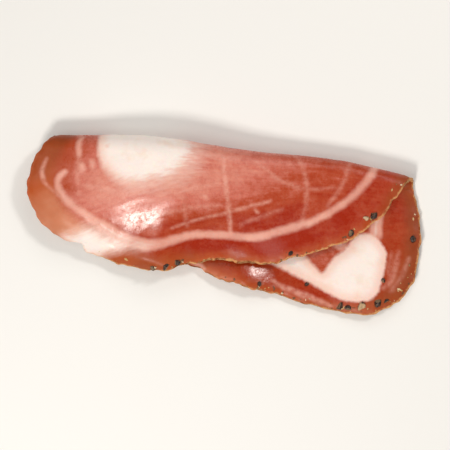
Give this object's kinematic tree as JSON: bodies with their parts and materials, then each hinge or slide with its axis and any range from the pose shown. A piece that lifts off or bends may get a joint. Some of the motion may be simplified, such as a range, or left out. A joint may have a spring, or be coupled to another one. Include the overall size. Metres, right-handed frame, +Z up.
{
  "type": "coppa slice",
  "caption": "Thin slice of cured pork neck, folded over once and laid flat, with a fat eye, pale seams of fat and cracked pepper on its rim.",
  "frame": {"origin": "middle of the slice's box, on the surface that it lies on", "axes": "+X along the fold, towards the end where the lower half shows; +Y towards the back of the fold; +Z up"},
  "size_m": [0.1032, 0.047, 0.0112],
  "materials": {
    "cured_meat": "moist cured meat and fat with an oily sheen",
    "pepper": "dry cracked black pepper"
  },
  "bodies": {
    "root": {"coppa_slice": "cured_meat"}
  },
  "joints": []
}
